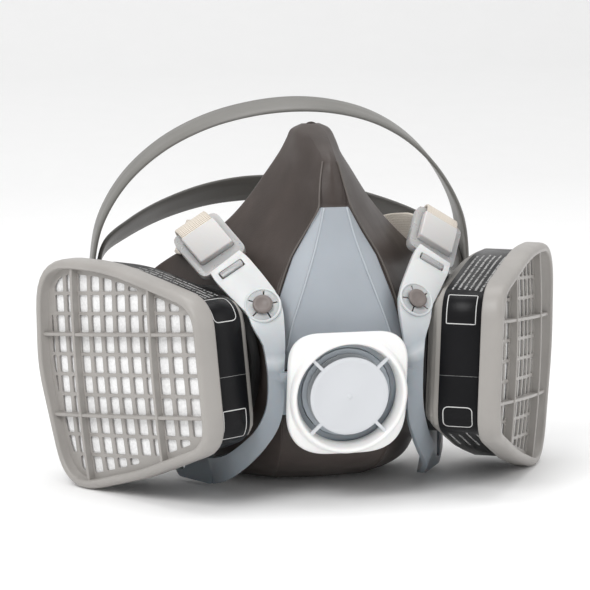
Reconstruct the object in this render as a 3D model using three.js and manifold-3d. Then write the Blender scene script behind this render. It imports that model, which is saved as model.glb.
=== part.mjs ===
// Half-face painter's respirator: soft facepiece, bonded cartridges, valve, yoke and head cradle.
// Millimetres, +Z up, front of the mask towards -Y, the wearer's face towards +Y, table at Z = 0.
import * as THREE from "three";
import { mergeVertices } from "three/addons/utils/BufferGeometryUtils.js";
import Module from "manifold-3d";

const wasm = await Module();
wasm.setup();

// ---- driving dimensions ----
const GAP = 0.3; // clearance between neighbouring pieces
const SHIFT_Y = 20.42; // centres the object's box on the origin
const SHIFT_Z = 1.37; // stands its lowest point on the table

// Cartridges: local frame (h back along the cartridge, v up, w outwards)
const CART_CENTRE = [82, -53.8, 45.6];
const CART_YAW = 60; // outward direction, degrees from straight ahead
const CART_ROLL = 6.8; // turn about its own outward direction
const RIM_CORNERS = [
  [0, 43, 130], [43, 46.5, 22], [47, 3, 60], [36, -47.5, 20],
  [-10, -39.5, 150], [-51.5, -28, 14], [-50.5, 28, 15],
];
const RIM_FRONT = 1.0;
const RIM_BACK = -7.4;
const RIM_WALL = 3.6;
const FLOOR_FRONT = -3.9;
const FLOOR_BACK = -5.1;
const SLOT_PITCH = [7.45, 7.85];
const SLOT_SIZE = [5.2, 6.4];
const RIB_AT = [22.35, 15.7];
const RIB_T = 1.8;
const PAD_BACK = -9.0;
const BODY_INSET = 4.2;
const BODY_BACK = -27.2;
const LABEL_BACK = -23.7;
const SHELL_INSET = 6.4;
const SHELL_BACK = -29.6;
const PORT_AT = [-9, 0]; // port axis on the cartridge back
const PORT_R = 12.6;
const ADAPTER_BACK = -34.2;
const NECK_BACK = -43.0;

// Facepiece: height, then section points (front centre y, panel edge x y, side x y, rim x y)
const SECTIONS = [
  [-1.0, -37, 14, -34.5, 24, -27, 29.5, -17],
  [0.4, -45, 17, -42, 28, -32, 33, -19],
  [3, -52, 19, -49, 33, -35, 40, -15],
  [9, -65, 21, -61, 37, -41, 47, -9],
  [20, -75, 22, -71, 40, -45, 53, -2],
  [32, -80, 23, -77, 43, -46, 58, 4],
  [44, -82.5, 24, -79, 45, -45, 60, 7],
  [56, -81, 25, -77, 46, -43, 60.5, 8],
  [66, -77, 25.5, -73, 45, -42, 60, 7],
  [76, -74, 24, -70, 41, -42, 57.5, 2],
  [83, -72.5, 21.5, -68.5, 37, -42, 51.5, -6],
  [90, -71.5, 18.5, -68, 31.5, -43, 42.5, -15],
  [99, -70, 13, -67, 24, -45, 32.5, -24],
  [108.8, -68.6, 8, -66, 18, -46, 25, -27],
  [119.2, -66.4, 5.6, -63, 13, -46, 18.5, -29],
  [126.4, -63.8, 4.2, -59, 9.5, -46, 13.5, -30],
  [132.4, -51, 4.2, -48, 8.6, -40, 10.5, -31],
  [136, -41, 3.5, -39, 6.4, -35.5, 7.5, -31],
  [137.9, -35.5, 2, -34.6, 3.2, -33, 3.5, -31.5],
];
const WALL = 2.8; // facepiece wall
const LIP = 9; // how far the face seal turns inwards
const BIB = [ // height, crease x, crease y, edge x, edge y
  [50, 21.8, -80.8, 25.6, -78.4],
  [56, 21.4, -79.6, 25.4, -77.4],
  [66, 18.6, -77.4, 24.4, -73.6],
  [74, 15.7, -76.4, 22.7, -71.8],
  [91, 9.6, -73.6, 16.3, -69.6],
  [100, 6.8, -71.8, 10.8, -69.0],
  [109.7, 4.4, -70.4, 5.4, -69.6],
];
const BIB_T = 1.6;

// Exhalation valve: local frame with q pointing out of the valve
const VALVE_AT = [0, -86.6, 41.8];
const VALVE_TILT = 7;
const COVER_SIZE = [46.4, 47.4];
const COVER_ROUND = [17, 12]; // corner radii, bottom and top
const OPENING_R = 20;
const DISC_R = 15.5;
const SEAT_R = 17.2;

// Yoke side stations from the neck-strap tab round the port and up the arm: centre, width direction, width
const ARM = [
  [[42.4, -43.6, 4.9], [0.2, 0, 1], 10.8],
  [[41.2, -53.6, 7.2], [0.34, 0.1, 0.94], 10.0],
  [[38.5, -66.4, 12.1], [0.47, 0.28, 0.83], 8.4],
  [[33.9, -74.2, 18.7], [0.56, 0.36, 0.75], 7.6],
  [[30.7, -79.8, 24.7], [0.78, 0.27, 0.57], 7.0],
  [[28.5, -83.0, 30.2], [0.92, 0.15, 0.36], 6.9],
  [[27.3, -85.4, 36.3], [0.97, 0.1, 0.2], 6.4],
  [[27.0, -86.2, 43], [1, 0, 0], 6.1],
  [[27.1, -86.0, 51], [1, 0, 0], 6.2],
  [[27.3, -83.9, 61], [0.98, 0, -0.1], 8.5],
  [[28.6, -80.4, 68], [0.95, 0, -0.26], 12.4],
  [[29.8, -76.9, 74], [0.92, -0.03, -0.38], 13.8],
  [[34.2, -71.4, 80.2], [0.86, -0.06, -0.5], 15.0],
  [[39.0, -65.6, 86.3], [0.84, -0.07, -0.54], 15.6],
  [[41.2, -63.0, 89.1], [0.84, -0.07, -0.54], 14.2],
];
const ARM_T = 2.2;
const BUTTON_AT = [29.8, -76.9, 74];
const BUTTON_R = [2.9, 3.8]; // shank and head
const SLOT_AT = [39.0, -65.6, 86.3];
const SLOT = [10.6, 3.2];
const TAB_KNEE = [42.4, -43.0]; // where the side folds into the tab
const TAB_END = [53.6, -27.5];

// Buckle: local frame (a away from the slot, b across, c outwards)
const BUCKLE_A = [0.384, 0.74, 0.55];
const BUCKLE_B = [0.84, -0.07, -0.54];
const STRAP_W = 14;
const STRAP_T = 1.2;

// Head cradle
const BAND_W = 11.4;
const BAND_T = 1.6;
const UPPER = [
  [77.4, 22, 62], [77.4, 19.5, 79], [74.4, 17.5, 95.5], [65.4, 14.5, 112],
  [51.6, 8.5, 126], [35, 1.5, 135.8], [17.4, -4, 141.2], [0, -6.5, 143],
];
const LOWER = [
  [75.2, 24, 64], [75.0, 22, 75], [71.5, 25.5, 83.5], [60, 34, 90],
  [42, 46.5, 96], [21, 54, 100.6], [0, 56, 102.2],
];
const PIN_AT = [76.2, 21.8, 68];

// ---- helpers ----
const vec = (a) => new THREE.Vector3(...a);

function manifoldOf(geometry) {
  const bare = geometry.clone();
  bare.deleteAttribute("normal");
  bare.deleteAttribute("uv");
  const merged = mergeVertices(bare, 1e-4);
  return new wasm.Manifold(new wasm.Mesh({
    numProp: 3,
    vertProperties: new Float32Array(merged.attributes.position.array),
    triVerts: new Uint32Array(merged.index.array),
  }));
}

function geometryOf(solid) {
  const mesh = solid.getMesh();
  const geometry = new THREE.BufferGeometry();
  const points = new Float32Array(mesh.numVert * 3);
  for (let i = 0; i < mesh.numVert; i++) {
    points.set(mesh.vertProperties.subarray(i * mesh.numProp, i * mesh.numProp + 3), i * 3);
  }
  geometry.setAttribute("position", new THREE.BufferAttribute(points, 3));
  geometry.setIndex(new THREE.BufferAttribute(new Uint32Array(mesh.triVerts), 1));
  return geometry.toNonIndexed();
}

const average = (points) => [0, 1, 2].map((k) => points.reduce((s, p) => s + p[k], 0) / points.length);

// Rings of equal length, joined into one closed surface with fan caps about each end's middle.
function loft(rings, middle = average) {
  const n = rings[0].length;
  const points = [];
  const tri = [];
  rings.forEach((ring) => ring.forEach((p) => points.push(...p)));
  for (let i = 0; i + 1 < rings.length; i++) {
    for (let j = 0; j < n; j++) {
      const a = i * n + j;
      const b = i * n + ((j + 1) % n);
      tri.push(a, b, b + n, a, b + n, a + n);
    }
  }
  for (const last of [false, true]) {
    const ring = rings[last ? rings.length - 1 : 0];
    const base = last ? (rings.length - 1) * n : 0;
    const centre = points.length / 3;
    points.push(...middle(ring));
    for (let j = 0; j < n; j++) {
      const pair = [base + j, base + ((j + 1) % n)];
      if (!last) pair.reverse();
      tri.push(pair[0], pair[1], centre);
    }
  }
  const build = (index) => {
    const geometry = new THREE.BufferGeometry();
    geometry.setAttribute("position", new THREE.Float32BufferAttribute(points, 3));
    geometry.setIndex(index);
    return manifoldOf(geometry.toNonIndexed());
  };
  let made = build(tri);
  if (made.volume() < 0) {
    const flipped = [];
    for (let i = 0; i < tri.length; i += 3) flipped.push(tri[i], tri[i + 2], tri[i + 1]);
    made = build(flipped);
  }
  return made;
}

// A strip swept through stations [centre, width direction, width].
function ribbon(stations, thickness, steps, extra = 0) {
  const path = new THREE.CatmullRomCurve3(stations.map((s) => vec(s[0])), false, "centripetal");
  const rings = [];
  for (let i = 0; i <= steps; i++) {
    const t = i / steps;
    const centre = path.getPoint(t);
    const along = path.getTangent(t);
    const k = Math.min(t * (stations.length - 1), stations.length - 1.0001);
    const at = Math.floor(k);
    const w = vec(stations[at][1]).lerp(vec(stations[at + 1][1]), k - at);
    const width = stations[at][2] * (1 - k + at) + stations[at + 1][2] * (k - at) + extra;
    w.addScaledVector(along, -w.dot(along)).normalize();
    const n = along.clone().cross(w).normalize();
    const corner = (a, b) => centre.clone()
      .addScaledVector(w, (a * width) / 2)
      .addScaledVector(n, (b * (thickness + extra)) / 2).toArray();
    rings.push([corner(-1, -1), corner(1, -1), corner(1, 1), corner(-1, 1)]);
  }
  return loft(rings);
}

// Closed outline with each corner rounded to its own radius.
function outline(corners, steps = 3) {
  const points = [];
  corners.forEach(([x, y, r], i) => {
    const before = corners[(i + corners.length - 1) % corners.length];
    const after = corners[(i + 1) % corners.length];
    const p = new THREE.Vector2(x, y);
    const u = new THREE.Vector2(before[0] - x, before[1] - y);
    const v = new THREE.Vector2(after[0] - x, after[1] - y);
    const angle = Math.acos(u.dot(v) / (u.length() * v.length()));
    const reach = Math.min(r / Math.tan(angle / 2), 0.48 * u.length(), 0.48 * v.length());
    const a = p.clone().addScaledVector(u.normalize(), reach);
    const b = p.clone().addScaledVector(v.normalize(), reach);
    const curve = new THREE.QuadraticBezierCurve(a, p, b);
    if (steps === 0) points.push(p);
    else for (let s = 0; s <= steps; s++) points.push(curve.getPoint(s / steps));
  });
  return points;
}

// The same outline moved inwards (positive) by a distance.
function inset(points, distance) {
  const turn = THREE.ShapeUtils.isClockWise(points) ? -1 : 1;
  const n = points.length;
  return points.map((p, i) => {
    const back = points[(i + n - 1) % n];
    const next = points[(i + 1) % n];
    const t = next.clone().sub(back).normalize();
    return new THREE.Vector2(p.x - t.y * distance * turn, p.y + t.x * distance * turn);
  });
}

const rectangle = (w, h, r, x = 0, y = 0) => outline([
  [x - w / 2, y - h / 2, r], [x + w / 2, y - h / 2, r],
  [x + w / 2, y + h / 2, r], [x - w / 2, y + h / 2, r],
], r > 2 ? 4 : r > 0 ? 2 : 0);

// An outline extruded from one level to another along the frame's third axis.
function prism(points, from, to, frame) {
  const geometry = new THREE.ExtrudeGeometry(new THREE.Shape(points), {
    depth: to - from, bevelEnabled: false, steps: 1,
  });
  geometry.translate(0, 0, from);
  geometry.applyMatrix4(frame);
  return manifoldOf(geometry);
}

// Radius and height pairs turned about the frame's third axis.
function turned(profile, frame, segments = 24) {
  const geometry = new THREE.LatheGeometry(
    profile.map((p) => new THREE.Vector2(p[0], p[1])), segments);
  geometry.applyMatrix4(new THREE.Matrix4().makeRotationX(Math.PI / 2));
  geometry.applyMatrix4(frame);
  return manifoldOf(geometry);
}

const disc = (r, from, to, frame, segments = 24) =>
  turned([[0, from], [r, from], [r, to], [0, to]], frame, segments);

function frameOf(x, y, z, at) {
  return new THREE.Matrix4().makeBasis(vec(x).normalize(), vec(y).normalize(), vec(z).normalize())
    .setPosition(vec(at));
}

const mirrored = (p, side) => [p[0] * side, p[1], p[2]];

const group = new THREE.Group();
group.position.set(0, SHIFT_Y, SHIFT_Z);

function add(name, solid, color, roughness = 0.6, metalness = 0) {
  const material = new THREE.MeshStandardMaterial({ color, roughness, metalness });
  const mesh = new THREE.Mesh(geometryOf(solid), material);
  mesh.name = name;
  group.add(mesh);
}

// Everything beside the middle is made for the +X side and copied across for the other.
function across(solid) {
  const geometry = geometryOf(solid);
  const p = geometry.attributes.position;
  for (let i = 0; i < p.count; i += 3) {
    const [a, b, c] = [0, 1, 2].map((k) => [-p.getX(i + k), p.getY(i + k), p.getZ(i + k)]);
    p.setXYZ(i, ...a);
    p.setXYZ(i + 1, ...c);
    p.setXYZ(i + 2, ...b);
  }
  return manifoldOf(geometry);
}

function placed(solid, frame) {
  return manifoldOf(geometryOf(solid).applyMatrix4(frame));
}

function addPair(name, solid, ...look) {
  add(name + "_left", solid, ...look);
  add(name + "_right", across(solid), ...look);
}

const yaw = THREE.MathUtils.degToRad(CART_YAW);
const roll = THREE.MathUtils.degToRad(CART_ROLL);
const outward = vec([Math.sin(yaw), -Math.cos(yaw), 0]);
const level = vec([Math.cos(yaw), Math.sin(yaw), 0]);
const up = vec([0, 0, 1]);
const hAxis = level.clone().multiplyScalar(Math.cos(roll)).addScaledVector(up, -Math.sin(roll));
const vAxis = up.clone().multiplyScalar(Math.cos(roll)).addScaledVector(level, Math.sin(roll));
const CART = frameOf(hAxis.toArray(), vAxis.toArray(), outward.toArray(), CART_CENTRE);
const PORT = CART.clone().multiply(new THREE.Matrix4().makeTranslation(...PORT_AT, 0));
const LOCAL = new THREE.Matrix4();
const PORT_LOCAL = new THREE.Matrix4().makeTranslation(...PORT_AT, 0);
const tilt = THREE.MathUtils.degToRad(VALVE_TILT);
const VALVE = frameOf([1, 0, 0], [0, -Math.sin(tilt), Math.cos(tilt)],
  [0, -Math.cos(tilt), -Math.sin(tilt)], VALVE_AT);

// ---- cartridges ----
const rim = outline(RIM_CORNERS);
const opening = inset(rim, RIM_WALL);
const bodyLine = inset(rim, BODY_INSET);
const shellLine = inset(rim, SHELL_INSET);

const slotField = inset(rim, RIM_WALL + 0.9);
const inside = (p, line) => line.every((q, i) => {
  const next = line[(i + 1) % line.length];
  const turn = (next.x - q.x) * (p.y - q.y) - (next.y - q.y) * (p.x - q.x);
  return THREE.ShapeUtils.isClockWise(line) ? turn < 0 : turn > 0;
});
const slots = [];
for (let i = -6; i <= 5; i++) {
  for (let j = -6; j <= 5; j++) {
    const x = (i + 0.5) * SLOT_PITCH[0];
    const y = (j + 0.5) * SLOT_PITCH[1];
    const cell = rectangle(...SLOT_SIZE, 0, x, y);
    if (cell.every((p) => inside(p, slotField))) {
      slots.push(prism(cell, FLOOR_BACK - 1, FLOOR_FRONT + 1, LOCAL));
    }
  }
}
const allSlots = slots.reduce((sum, cell) => sum.add(cell));
let cover = prism(rim, RIM_BACK, RIM_FRONT - 1.1, LOCAL)
  .add(prism(inset(rim, 1.1), RIM_BACK + 1, RIM_FRONT, LOCAL))
  .subtract(prism(opening, FLOOR_FRONT, RIM_FRONT + 1, LOCAL))
  .subtract(prism(inset(rim, BODY_INSET - GAP), RIM_BACK - 1, FLOOR_BACK, LOCAL))
  .subtract(allSlots);
const ribField = prism(inset(rim, RIM_WALL - 0.4), FLOOR_FRONT - 0.5, 0, LOCAL);
for (const side of [-1, 1]) {
  const upright = prism(rectangle(RIB_T, 120, 0, side * RIB_AT[0], 0), -9, 3, LOCAL);
  const cross = prism(rectangle(120, RIB_T, 0, 0, side * RIB_AT[1]), -9, 3, LOCAL);
  cover = cover.add(upright.add(cross).intersect(ribField));
}
addPair("cartridge_cover", placed(cover, CART), "#b3aea4", 0.5);

const pad = prism(inset(bodyLine, 0.4), PAD_BACK, FLOOR_BACK - GAP, LOCAL);
addPair("filter_pad", placed(pad, CART), "#f1f1ef", 0.9);

const body = prism(bodyLine, BODY_BACK + 1.6, PAD_BACK - GAP, LOCAL)
  .add(prism(inset(bodyLine, 1.2), BODY_BACK, BODY_BACK + 3, LOCAL))
  .add(prism(shellLine, SHELL_BACK + 1.5, BODY_BACK + 1, LOCAL))
  .add(prism(inset(shellLine, 1.6), SHELL_BACK, BODY_BACK + 2, LOCAL))
  .subtract(prism(inset(shellLine, 1.6), SHELL_BACK + 4, PAD_BACK + 1, LOCAL))
  .subtract(disc(PORT_R - 2, SHELL_BACK - 1, SHELL_BACK + 5, PORT_LOCAL));
const labelBand = prism(inset(bodyLine, -0.9), LABEL_BACK, RIM_BACK - 0.4, LOCAL)
  .subtract(prism(inset(bodyLine, -GAP), BODY_BACK - 1, RIM_BACK + 2, LOCAL));
addPair("cartridge_body", placed(body, CART), "#a9a59a", 0.5);
addPair("label_band", placed(labelBand, CART), "#161517", 0.3);
const bedLine = inset(shellLine, 2);
addPair("carbon_bed", prism(bedLine, SHELL_BACK + 6, PAD_BACK - 1, CART), "#1d1d1f", 0.95);
addPair("port_screen", prism(bedLine, SHELL_BACK + 4.4, SHELL_BACK + 5.6, CART), "#dcdcd8", 0.8);

// ---- port adapter, inhalation flap ----
const flange = outline([[-46, 0, 26], [-38, 30, 26], [2, 32, 26], [26, 22, 22], [28, -10, 22],
  [10, -31, 24], [-34, -28, 24]].map(([x, y, r]) => [x, y, r]));
const hub = (frame, from, to) => disc(3, from, to, frame, 20)
  .subtract(disc(1.5, from - 1, to + 1, frame, 20));
const spokes = (frame, reach, from, to, width, turnBy) => {
  const bars = [0, 1].map((k) => prism(rectangle(2 * reach, width, 0),
    from, to, frame.clone().multiply(new THREE.Matrix4().makeRotationZ(turnBy + (k * Math.PI) / 2))));
  return bars[0].add(bars[1]);
};
const adapter = prism(flange, ADAPTER_BACK, SHELL_BACK - GAP, LOCAL)
  .add(disc(PORT_R, NECK_BACK, ADAPTER_BACK + 1, PORT_LOCAL))
  .subtract(disc(PORT_R - 2, NECK_BACK - 1, 0, PORT_LOCAL))
  .add(spokes(PORT_LOCAL, PORT_R - 1, NECK_BACK, NECK_BACK + 1.6, 1.6, 0)
    .subtract(disc(2.4, NECK_BACK - 1, NECK_BACK + 3, PORT_LOCAL)))
  .add(hub(PORT_LOCAL, NECK_BACK, NECK_BACK + 1.6));
const intake = disc(PORT_R - 0.8, NECK_BACK - 1.1, NECK_BACK - GAP, PORT)
  .add(disc(1.1, NECK_BACK - 1, NECK_BACK + 5, PORT, 20));
addPair("inhalation_flap", intake, "#e8d9a8", 0.5);

// ---- yoke with its arms, wings and neck-strap tabs ----
function yokeSolid(extra) {
  const plate = prism(rectangle(COVER_SIZE[0] - 4 + extra, COVER_SIZE[1] - 4 + extra, 12),
    -2.2 - extra / 2, 0 + extra / 2, VALVE);
  const bar = prism(rectangle(52 + extra, 16.5 + extra, 0, 0, 0.2), -2.2 - extra / 2, extra / 2, VALVE);
  let side = ribbon(ARM, ARM_T, extra ? 24 : 36, extra);
  const r = [TAB_END[0] - TAB_KNEE[0], TAB_END[1] - TAB_KNEE[1], 0];
  const reach = Math.hypot(r[0], r[1]);
  const tab = frameOf(r, [0, 0, 1], [r[1], -r[0], 0], [...TAB_KNEE, 0]);
  const tabLine = outline([[-1.8, -0.4, 1], [reach - 4, 0.6, 3], [reach, 6, 2], [reach, 16, 3],
    [reach - 5, 19, 3], [-1.8, 15, 1]]);
  side = side.add(prism(inset(tabLine, -extra / 2), 0 - extra / 2, ARM_T + extra / 2, tab));
  if (!extra) {
    side = side.subtract(prism(rectangle(3.4, 11.5, 1.2, reach - 5.4, 9.4), -3, 6, tab));
  }
  return plate.add(bar).add(side).add(across(side));
}
const buttonX = vec([0.86, -0.05, -0.44]).normalize();
const armOut = vec([0.3, -0.81, 0.5]).normalize();
const buttonY = armOut.clone().cross(buttonX).normalize();
const buttonZ = buttonX.clone().cross(buttonY).normalize();
const BUTTON = frameOf(buttonX.toArray(), buttonY.toArray(), buttonZ.toArray(), BUTTON_AT);
const a = vec(BUCKLE_A).normalize();
const b = vec(BUCKLE_B).addScaledVector(a, -vec(BUCKLE_B).dot(a)).normalize();
const c = a.clone().cross(b).multiplyScalar(-1).normalize();
const BUCKLE = frameOf(b.toArray(), a.toArray(), c.toArray(), SLOT_AT);

const buttonCut = (side) => {
  let cut = disc(BUTTON_R[0] + 0.4, -3, 3, BUTTON, 24);
  for (let k = 0; k < 5; k++) {
    const at = BUTTON.clone().multiply(new THREE.Matrix4().makeRotationZ((k * 2 * Math.PI) / 5 + 0.93));
    cut = cut.add(prism(rectangle(2.8, 0.6, 0, 4.4, 0), -3, 3, at));
  }
  return side > 0 ? cut : across(cut);
};
const armSlot = prism(rectangle(...SLOT, 0.6), -4, 4, BUCKLE);
const yokeRoom = yokeSolid(0.9);
const largest = (solid) => solid.decompose().sort((p, q) => q.volume() - p.volume())[0];
addPair("port_adapter", largest(placed(adapter, CART).subtract(yokeRoom)), "#1a1a1b", 0.6);
const yoke = yokeSolid(0)
  .subtract(buttonCut(1)).subtract(buttonCut(-1))
  .subtract(armSlot).subtract(across(armSlot))
  .subtract(disc(SEAT_R + GAP, -9, 3, VALVE));
add("yoke", yoke, "#c4c9cc", 0.45);
addPair("snap_button", disc(BUTTON_R[0], -3.2, 1.6, BUTTON, 24)
  .add(disc(BUTTON_R[1], 1.4, 2.4, BUTTON, 24)), "#7d736c", 0.55);

// ---- front panel and facepiece ----
function bibRings(grow) {
  return BIB.map(([z, cx, cy, ex, ey], i) => {
    const lift = i === 0 ? -grow : i === BIB.length - 1 ? grow : 0;
    const back = BIB_T + grow;
    return [
      [-cx, cy - grow, z + lift], [cx, cy - grow, z + lift], [ex + grow, ey - grow, z + lift],
      [ex + grow, ey + back, z + lift], [cx, cy + back, z + lift], [-cx, cy + back, z + lift],
      [-ex - grow, ey + back, z + lift], [-ex - grow, ey - grow, z + lift],
    ];
  });
}
const bibMiddle = (ring) => average([ring[0], ring[4]]);
add("front_panel", loft(bibRings(0), bibMiddle), "#a9b1b9", 0.5);

// One closed section: wall moves the sides and front inwards, back sets the rear line.
function section([z, ya, bx, by, mx, my, rx, ry], wall, lip, behind) {
  const half = new THREE.CatmullRomCurve3([
    vec([0, ya + wall, 0]), vec([bx - wall * 0.75, by + wall * 0.8, 0]),
    vec([mx - wall, my + wall * 0.25, 0]), vec([rx - wall - lip, ry + behind, 0]),
  ], false, "centripetal");
  const points = [];
  for (let i = 0; i <= 8; i++) {
    const p = half.getPoint(i / 8);
    points.push([p.x, p.y, z]);
  }
  const rest = points.slice(1).reverse().map(([x, y, h]) => [-x, y, h]);
  return points.concat(rest);
}
const outer = loft(SECTIONS.map((s) => section(s, 0, 0, 0)));
const low = SECTIONS[1][0] + WALL;
const high = 131;
const squeeze = (s) => [low + ((s[0] - SECTIONS[1][0]) / (136.1 - SECTIONS[1][0])) * (high - low),
  ...s.slice(1)];
const cavity = loft(SECTIONS.slice(1, 17).map((s) => section(squeeze(s), WALL, 0, -3.2)));
const mouthOf = (s) => {
  const z = 11 + ((s[0] - SECTIONS[1][0]) / (125 - SECTIONS[1][0])) * (119 - 11);
  const w = Math.max(s[6] - LIP - 1.5, 3);
  return [[-w, s[7] - 22, z], [w, s[7] - 22, z], [w, s[7] + 30, z], [-w, s[7] + 30, z]];
};
const mouth = loft(SECTIONS.slice(2, 16).map(mouthOf));
const boss = disc(17.5, ADAPTER_BACK - 15, ADAPTER_BACK - GAP, PORT);
const portCut = disc(PORT_R + GAP, ADAPTER_BACK - 30, 2, PORT)
  .add(prism(inset(flange, -1.5), ADAPTER_BACK - GAP, 30, CART));
const flapRoom = disc(15, NECK_BACK - 30, NECK_BACK + 1, PORT);
let facepiece = outer.add(boss).add(across(boss)).subtract(cavity).subtract(mouth)
  .subtract(flapRoom).subtract(across(flapRoom))
  .subtract(portCut).subtract(across(portCut))
  .subtract(yokeRoom)
  .subtract(loft(bibRings(GAP), bibMiddle))
  .subtract(disc(SEAT_R + GAP, -14, 4, VALVE));
const buttonRoom = disc(BUTTON_R[0] + GAP, -7, 4, BUTTON, 24);
facepiece = facepiece.subtract(buttonRoom).subtract(across(buttonRoom));
add("facepiece", largest(facepiece), "#4b443f", 0.55);

// ---- exhalation valve ----
const seat = disc(SEAT_R, -6, 0.6, LOCAL)
  .subtract(disc(SEAT_R - 3.4, -7, 2, LOCAL))
  .add(spokes(LOCAL, SEAT_R - 2, -6, -4, 1.6, Math.PI / 4).subtract(disc(2.4, -7, 0, LOCAL)))
  .add(hub(LOCAL, -6, -1));
add("valve_seat", placed(seat, VALVE), "#9fb0bd", 0.5);
const outlet = disc(SEAT_R - 1.8, 0.9, 1.7, LOCAL).add(disc(1.1, -5, 1.4, LOCAL, 20));
add("exhalation_flap", placed(outlet, VALVE), "#8a97a3", 0.5);
const coverLine = outline([[-1, -1], [1, -1], [1, 1], [-1, 1]].map(([x, y]) =>
  [(x * COVER_SIZE[0]) / 2, (y * COVER_SIZE[1]) / 2, COVER_ROUND[y < 0 ? 0 : 1]]), 5);
const funnel = turned([[OPENING_R - 1, 2.6], [OPENING_R + 2.8, 2.6], [OPENING_R + 1.6, 7.0],
  [OPENING_R + 0.4, 7.0], [OPENING_R - 1, 2.6]], LOCAL, 28);
const valveCover = prism(coverLine, GAP, 2.6, LOCAL)
  .add(prism(inset(coverLine, 1.2), 2, 4.0, LOCAL))
  .subtract(disc(OPENING_R - 1, -2, 6, LOCAL, 28))
  .add(funnel)
  .add(disc(DISC_R, 4.4, 5.6, LOCAL, 28))
  .add(spokes(LOCAL, OPENING_R + 0.7, 4.4, 5.4, 1.3, Math.PI / 4));
add("valve_cover", placed(valveCover, VALVE), "#f0f0ee", 0.35);

// ---- buckles and elastic straps ----
const frameLine = rectangle(20.4, 23.4, 3.5, 0, 17);
const buckle = prism(frameLine, -4.4, -1.6, BUCKLE)
  .add(prism(rectangle(9.4, 8.4, 0.6, 0, 2.9), -4.4, -1.6, BUCKLE))
  .add(prism(rectangle(9.4, 2.2, 0.4, 0, 0), -2, 1.6, BUCKLE))
  .subtract(prism(rectangle(15.2, 14, 1, 0, 17.4), -6, 1, BUCKLE));
addPair("buckle", buckle, "#dfe3e4", 0.3);
const strapWidth = b.toArray();
const inBuckle = (along, out) => vec(SLOT_AT).addScaledVector(a, along).addScaledVector(c, out)
  .toArray();
const STRAP = [
  [inBuckle(15, -6.4), strapWidth, STRAP_W], [inBuckle(12, -4.6), strapWidth, STRAP_W],
  [inBuckle(13, -2.0), strapWidth, STRAP_W], [inBuckle(19, -0.3), strapWidth, STRAP_W],
  [inBuckle(27.6, 0.2), strapWidth, STRAP_W], [inBuckle(31, -2.4), strapWidth, STRAP_W],
  [inBuckle(30, -6.0), strapWidth, STRAP_W], [inBuckle(27, -9.6), strapWidth, STRAP_W],
  [[42, -13, 96], [0.66, 0.1, -0.74], STRAP_W], [[38.5, 4, 91], [0.9, 0, -0.4], STRAP_W],
  [[37, 12, 81], [1, 0, 0], STRAP_W], [[39.5, 14.5, 69], [0.9, 0, 0.3], STRAP_W],
  [[50, 17, 59.5], [0.5, 0, 0.8], STRAP_W], [[64, 20, 57], [0.1, 0, 1], STRAP_W],
  [[72.6, 22.6, 58], [0, 0, 1], STRAP_W],
];
addPair("elastic_strap", ribbon(STRAP, STRAP_T, 44), "#f2ede4", 0.9);

// ---- head cradle ----
function band(points, tip, crown, width) {
  const half = points.map((p, i) => {
    const k = i / (points.length - 1);
    const w = vec(tip).lerp(vec(crown), k).toArray();
    return [p, w, width];
  });
  const rest = half.slice(0, -1).reverse().map(([p, w, width_]) =>
    [mirrored(p, -1), mirrored(w, -1), width_]);
  return ribbon(half.concat(rest), BAND_T, 36);
}
const pinAxis = frameOf([0, 1, 0], [0, 0, 1], [1, 0, 0], PIN_AT);
const pinRoom = disc(1.6 + GAP, -12, 12, pinAxis, 20);
const bandUpper = band(UPPER, [-0.14, 0.98, 0.2], [0, 0.92, 0.38], BAND_W)
  .subtract(pinRoom).subtract(across(pinRoom));
const bandLower = band(LOWER, [0.1, -0.95, 0.3], [0, -0.35, 0.94], BAND_W)
  .subtract(pinRoom).subtract(across(pinRoom));
add("cradle_band_upper", bandUpper, "#94928d", 0.55);
add("cradle_band_lower", bandLower, "#6d6a65", 0.55);
addPair("cradle_pin", disc(1.6, -3.4, 3.2, pinAxis, 20).add(disc(2.8, 3.0, 4.2, pinAxis, 20)),
  "#8b8984", 0.5);

export default group;
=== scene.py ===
import math

import bmesh
import bpy
import numpy as np
from mathutils import Matrix, Vector
from mathutils.geometry import delaunay_2d_cdt


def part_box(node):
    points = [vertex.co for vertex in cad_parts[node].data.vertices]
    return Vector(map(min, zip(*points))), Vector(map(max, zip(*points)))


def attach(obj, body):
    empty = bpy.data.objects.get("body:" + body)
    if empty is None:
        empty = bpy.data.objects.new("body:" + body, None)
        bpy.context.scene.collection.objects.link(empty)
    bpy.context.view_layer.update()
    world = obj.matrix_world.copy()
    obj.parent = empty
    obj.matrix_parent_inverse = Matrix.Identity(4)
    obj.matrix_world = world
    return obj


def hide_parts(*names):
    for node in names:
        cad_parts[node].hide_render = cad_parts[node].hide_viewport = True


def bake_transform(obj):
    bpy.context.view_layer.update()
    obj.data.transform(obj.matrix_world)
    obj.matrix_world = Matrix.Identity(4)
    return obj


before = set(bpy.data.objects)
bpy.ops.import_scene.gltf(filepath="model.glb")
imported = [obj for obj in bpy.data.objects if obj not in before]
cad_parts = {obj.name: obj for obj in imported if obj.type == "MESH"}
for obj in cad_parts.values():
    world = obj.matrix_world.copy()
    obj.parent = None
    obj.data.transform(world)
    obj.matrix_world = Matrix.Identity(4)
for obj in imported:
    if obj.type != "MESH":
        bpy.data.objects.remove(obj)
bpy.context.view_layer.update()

MM = 0.001
SIDES = {"left": 1, "right": -1}  # the wearer's left is +X

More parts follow.
